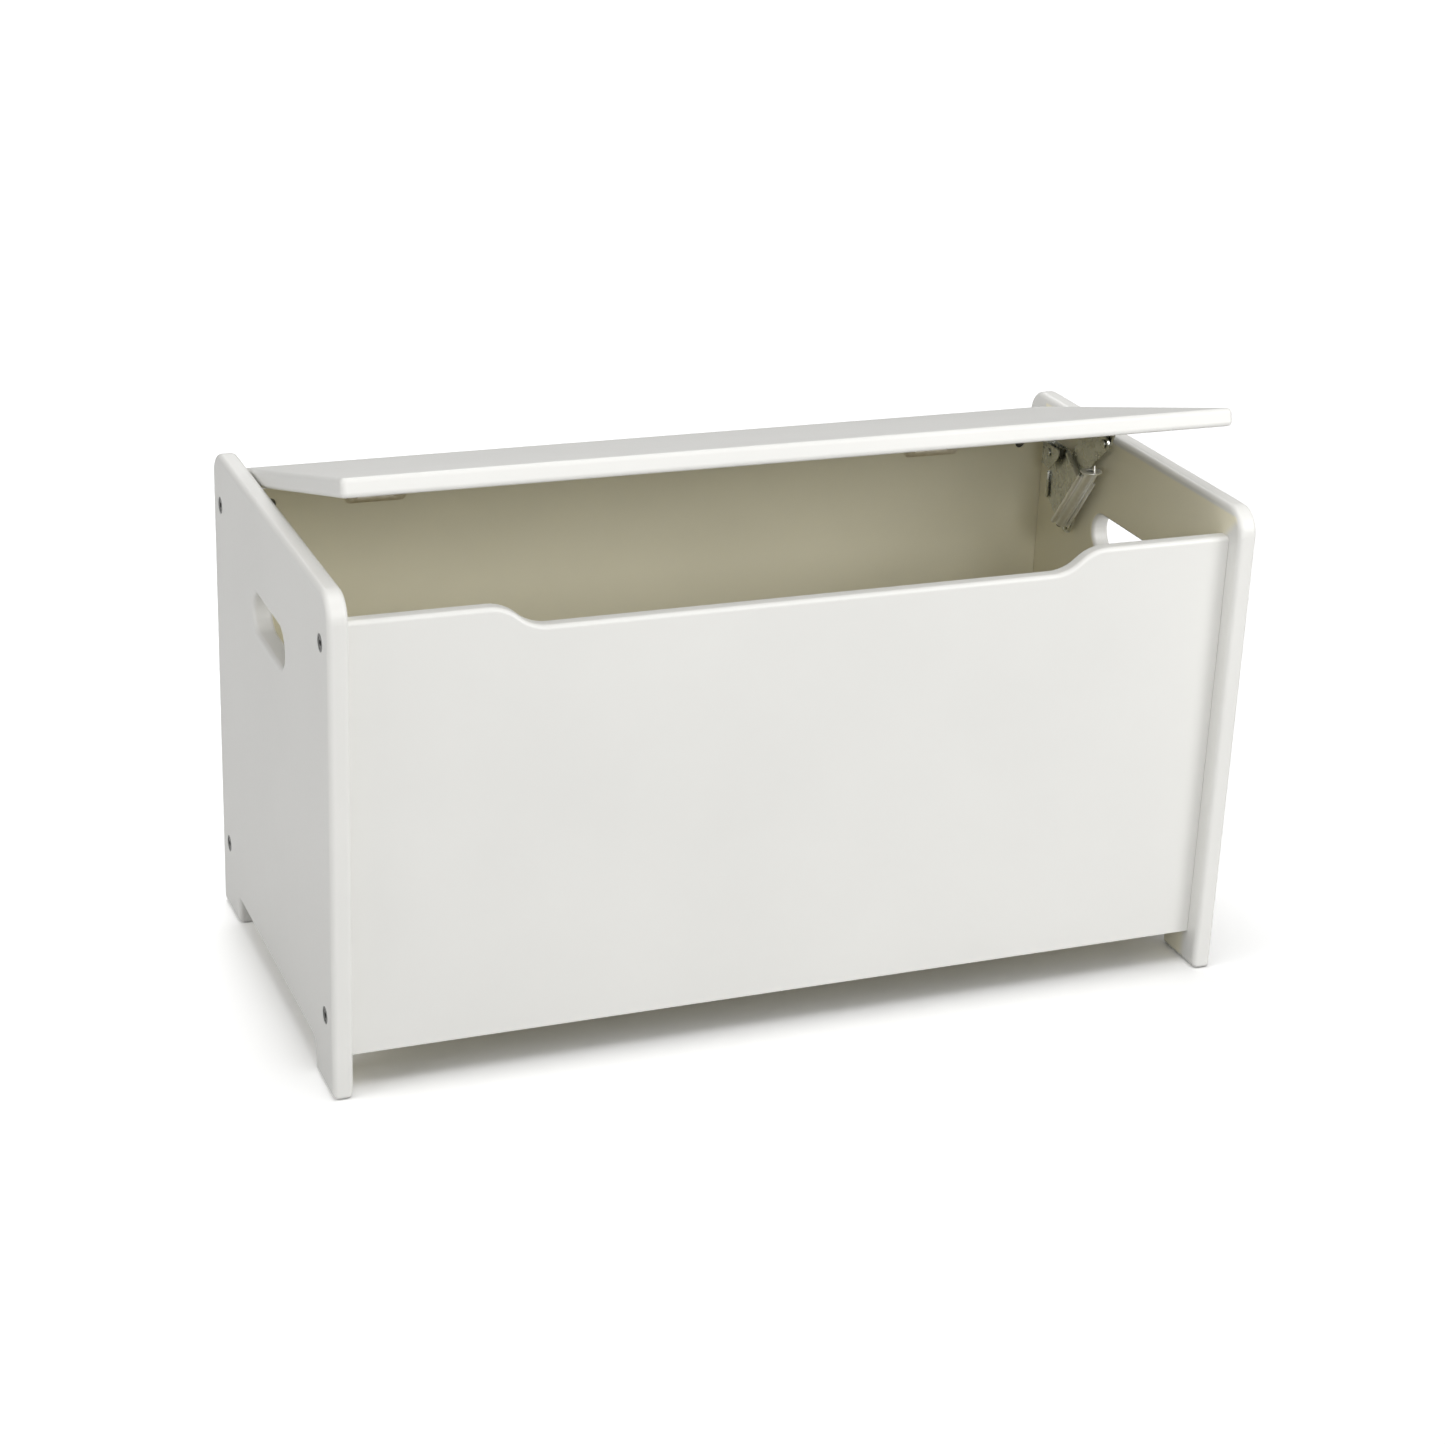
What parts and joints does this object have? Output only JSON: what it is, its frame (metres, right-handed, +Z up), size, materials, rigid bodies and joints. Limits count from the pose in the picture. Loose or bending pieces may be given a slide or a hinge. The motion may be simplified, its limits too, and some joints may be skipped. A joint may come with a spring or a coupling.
{
  "type": "toy box",
  "caption": "Low rectangular toy box of painted boards with a scooped front, hand slots in the sides and a lid hinged at the back, held by a spring-loaded folding support.",
  "frame": {"origin": "on the floor, midway between the outer faces of the side panels and midway between their front and rear edges", "axes": "+Z up; +X to the right as seen from the front; the front faces -Y"},
  "size_m": [0.84, 0.41, 0.5339],
  "materials": {
    "painted_board": "satin off-white paint on fibreboard",
    "beech": "bare beech",
    "nickel": "satin nickel plate",
    "dark_zinc": "dark zinc plate",
    "zinc_plate": "bright zinc plate",
    "spring_steel": "oiled spring steel",
    "plunger_plastic": "dark acetal"
  },
  "bodies": {
    "case": {"left_side_panel": "painted_board", "right_side_panel": "painted_board", "front_panel": "painted_board", "back_panel": "painted_board", "bottom_panel": "painted_board", "connector_bolts": "dark_zinc", "barrel_nuts": "dark_zinc", "locating_dowels": "beech", "left_hinge_back_leaf": "nickel", "right_hinge_back_leaf": "nickel", "left_hinge_pin": "nickel", "right_hinge_pin": "nickel", "hinge_back_screws": "nickel", "support_wall_bracket": "zinc_plate", "support_wall_screws": "zinc_plate", "support_wall_rivet": "zinc_plate"},
    "lid": {"lid": "painted_board", "left_hinge_lid_leaf": "nickel", "right_hinge_lid_leaf": "nickel", "hinge_lid_screws": "nickel", "support_lid_bracket": "zinc_plate", "support_lid_screws": "zinc_plate", "support_lid_rivet": "zinc_plate"},
    "support_lower_arm": {"support_lower_arm": "zinc_plate"},
    "support_upper_arm": {"support_upper_arm": "zinc_plate", "support_elbow_rivet": "zinc_plate", "support_spring_tube": "zinc_plate", "support_spring_collar": "zinc_plate", "support_spring": "spring_steel", "support_plunger": "plunger_plastic"}
  },
  "joints": [
    {"name": "lid_hinge", "type": "hinge", "parent": "case", "child": "lid", "pos_m": [0, 0.167, 0.4185], "axis": [-1, 0, 0], "range_deg": [-15.8, 74]},
    {"name": "support_wall_pivot", "type": "hinge", "parent": "case", "child": "support_lower_arm", "pos_m": [0.3955, 0.133, 0.402], "axis": [-1, 0, 0], "range_deg": [-22.6, 104]},
    {"name": "support_lid_pivot", "type": "hinge", "parent": "lid", "child": "support_upper_arm", "pos_m": [0.392, 0.031, 0.441], "axis": [-1, 0, 0], "range_deg": [-4.6, 1.4]}
  ],
  "couplings": [
    {"joint": "support_wall_pivot", "follows": "lid_hinge", "ratio": 1.3973},
    {"joint": "support_lid_pivot", "follows": "lid_hinge", "ratio": -0.0545}
  ]
}
